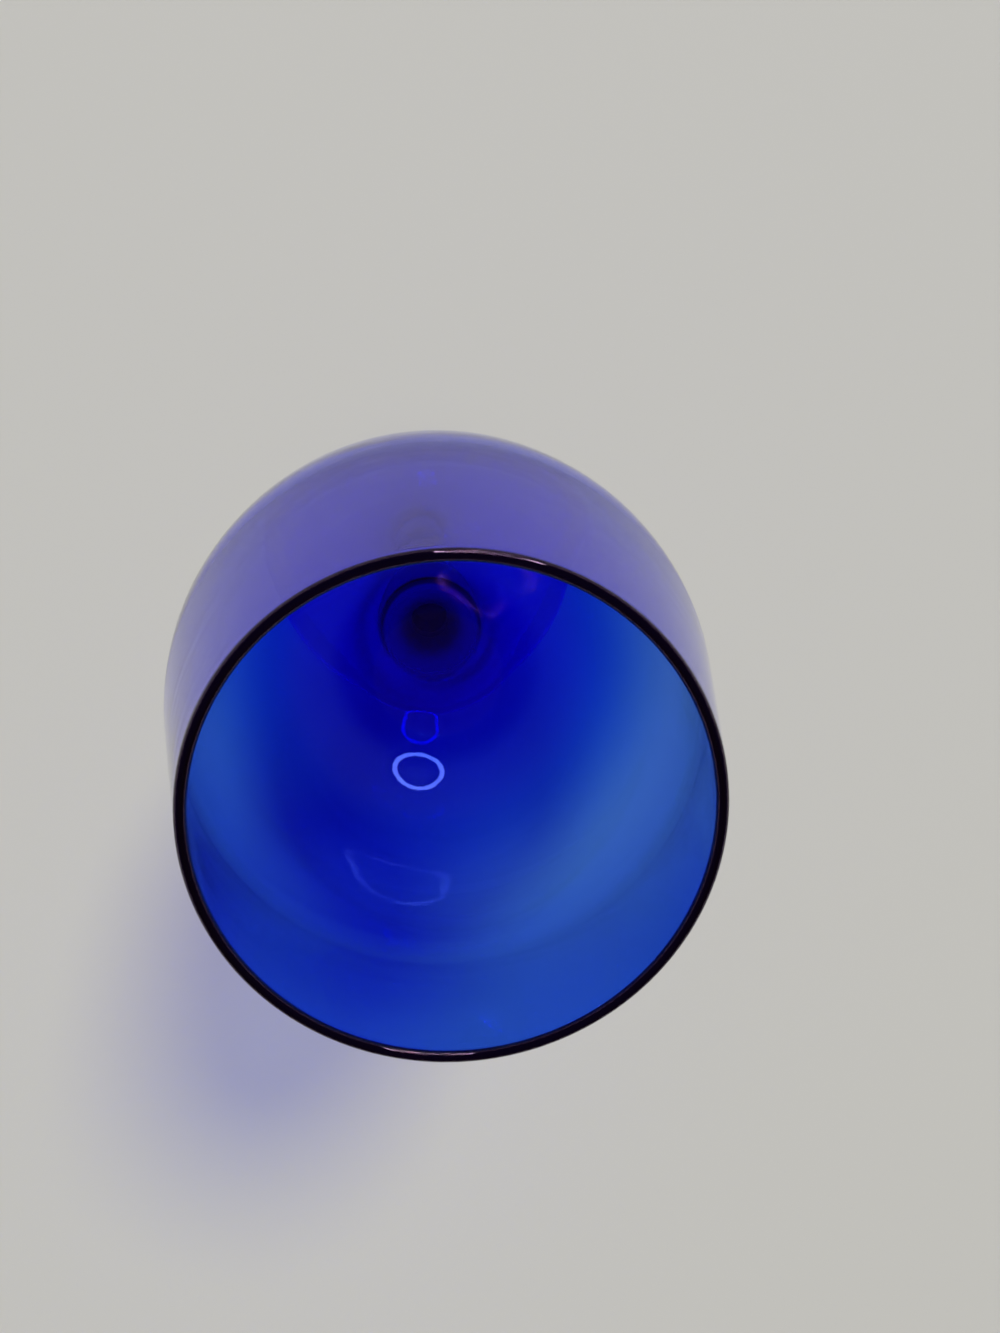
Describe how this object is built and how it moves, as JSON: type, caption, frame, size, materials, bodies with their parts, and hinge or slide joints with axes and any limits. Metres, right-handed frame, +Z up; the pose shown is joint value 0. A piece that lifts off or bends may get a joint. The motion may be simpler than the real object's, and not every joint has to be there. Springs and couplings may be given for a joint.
{
  "type": "wine glass",
  "caption": "Balloon wine glass of deep blue glass: a wide bowl that narrows to a round lip, on a drawn stem and a flat foot.",
  "frame": {"origin": "centre of the foot, on the surface that the glass stands on", "axes": "+Z up along the stem, from the foot to the mouth of the bowl; the glass is round about Z, so X and Y are free"},
  "size_m": [0.0946, 0.0946, 0.19],
  "materials": {
    "cobalt_glass": "clear cobalt-blue glass, coloured all through, fire-polished and glossy"
  },
  "bodies": {
    "root": {"bowl": "cobalt_glass", "stem": "cobalt_glass", "foot": "cobalt_glass"}
  },
  "joints": []
}
